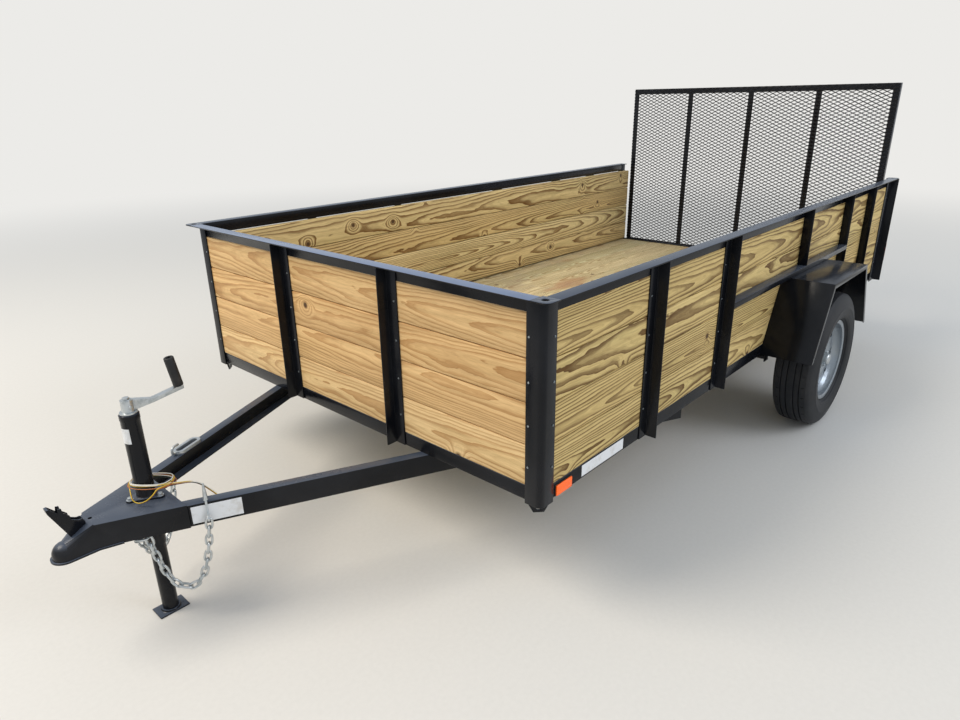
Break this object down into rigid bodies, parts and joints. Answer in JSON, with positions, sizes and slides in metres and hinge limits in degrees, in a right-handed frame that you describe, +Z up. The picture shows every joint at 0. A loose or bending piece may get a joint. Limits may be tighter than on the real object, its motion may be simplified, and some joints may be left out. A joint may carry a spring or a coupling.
{
  "type": "utility trailer",
  "caption": "Single-axle utility trailer with wooden side boards, steel angle frame, A-frame tongue with ball coupler and screw jack, and a hinged mesh ramp gate at the rear.",
  "frame": {"origin": "on the ground under the middle of the trailer's outline", "axes": "+X forwards along the tongue to the coupler, +Y to the trailer's left, +Z up"},
  "size_m": [4.8112, 2.444, 1.67],
  "materials": {
    "steel_black": "gloss",
    "wood_side": "bare planed boards",
    "wood_floor": "bare planed boards",
    "tyre_rubber": "matt",
    "wheel_silver": "satin",
    "zinc": "zinc plated",
    "grip_rubber": "matt",
    "lamp_red": "gloss",
    "marker_amber": "gloss",
    "wire_covers": "satin"
  },
  "bodies": {
    "chassis": {"bottom_frame": "steel_black", "cross_members": "steel_black", "tongue_beam_left": "steel_black", "tongue_beam_right": "steel_black", "top_rail_left": "steel_black", "top_rail_right": "steel_black", "top_rail_front": "steel_black", "uprights_left": "steel_black", "uprights_right": "steel_black", "uprights_front": "steel_black", "corner_posts_front": "steel_black", "corner_posts_rear": "steel_black", "corner_caps": "steel_black", "tie_down_tabs": "steel_black", "fender_left": "steel_black", "fender_right": "steel_black", "fender_rail_left": "steel_black", "fender_rail_right": "steel_black", "axle": "steel_black", "leaf_springs": "steel_black", "spring_hangers": "steel_black", "coupler": "steel_black", "gate_hinge_lugs": "steel_black", "jack_tube": "steel_black", "boards_left": "wood_side", "boards_right": "wood_side", "boards_front": "wood_side", "floor_boards": "wood_floor", "jack_crank": "zinc", "coupler_latch": "zinc", "safety_chain_left": "zinc", "safety_chain_right": "zinc", "crank_grip": "grip_rubber", "wiring_grommet": "grip_rubber", "wiring_coil": "wire_covers", "wiring_lead": "wire_covers", "wiring_loop": "wire_covers", "tail_lamps": "lamp_red", "side_markers": "marker_amber"},
    "wheel_left": {"tyre_left": "tyre_rubber", "rim_left": "wheel_silver", "hub_left": "steel_black"},
    "wheel_right": {"tyre_right": "tyre_rubber", "rim_right": "wheel_silver", "hub_right": "steel_black"},
    "gate": {"gate_frame": "steel_black", "gate_mesh": "steel_black"},
    "jack_leg": {"jack_leg": "zinc"}
  },
  "joints": [
    {"name": "wheel_left_spin", "type": "hinge", "parent": "chassis", "child": "wheel_left", "pos_m": [-0.80945, 1.116, 0.344], "axis": [0, 1, 0], "continuous": true},
    {"name": "wheel_right_spin", "type": "hinge", "parent": "chassis", "child": "wheel_right", "pos_m": [-0.80945, -1.116, 0.344], "axis": [0, 1, 0], "continuous": true},
    {"name": "gate_hinge", "type": "hinge", "parent": "chassis", "child": "gate", "pos_m": [-2.38545, 0, 0.447], "axis": [0, -1, 0], "range_deg": [0, 110]},
    {"name": "jack_slide", "type": "slide", "parent": "chassis", "child": "jack_leg", "axis": [0, 0, 1], "range_m": [0, 0.25]}
  ]
}
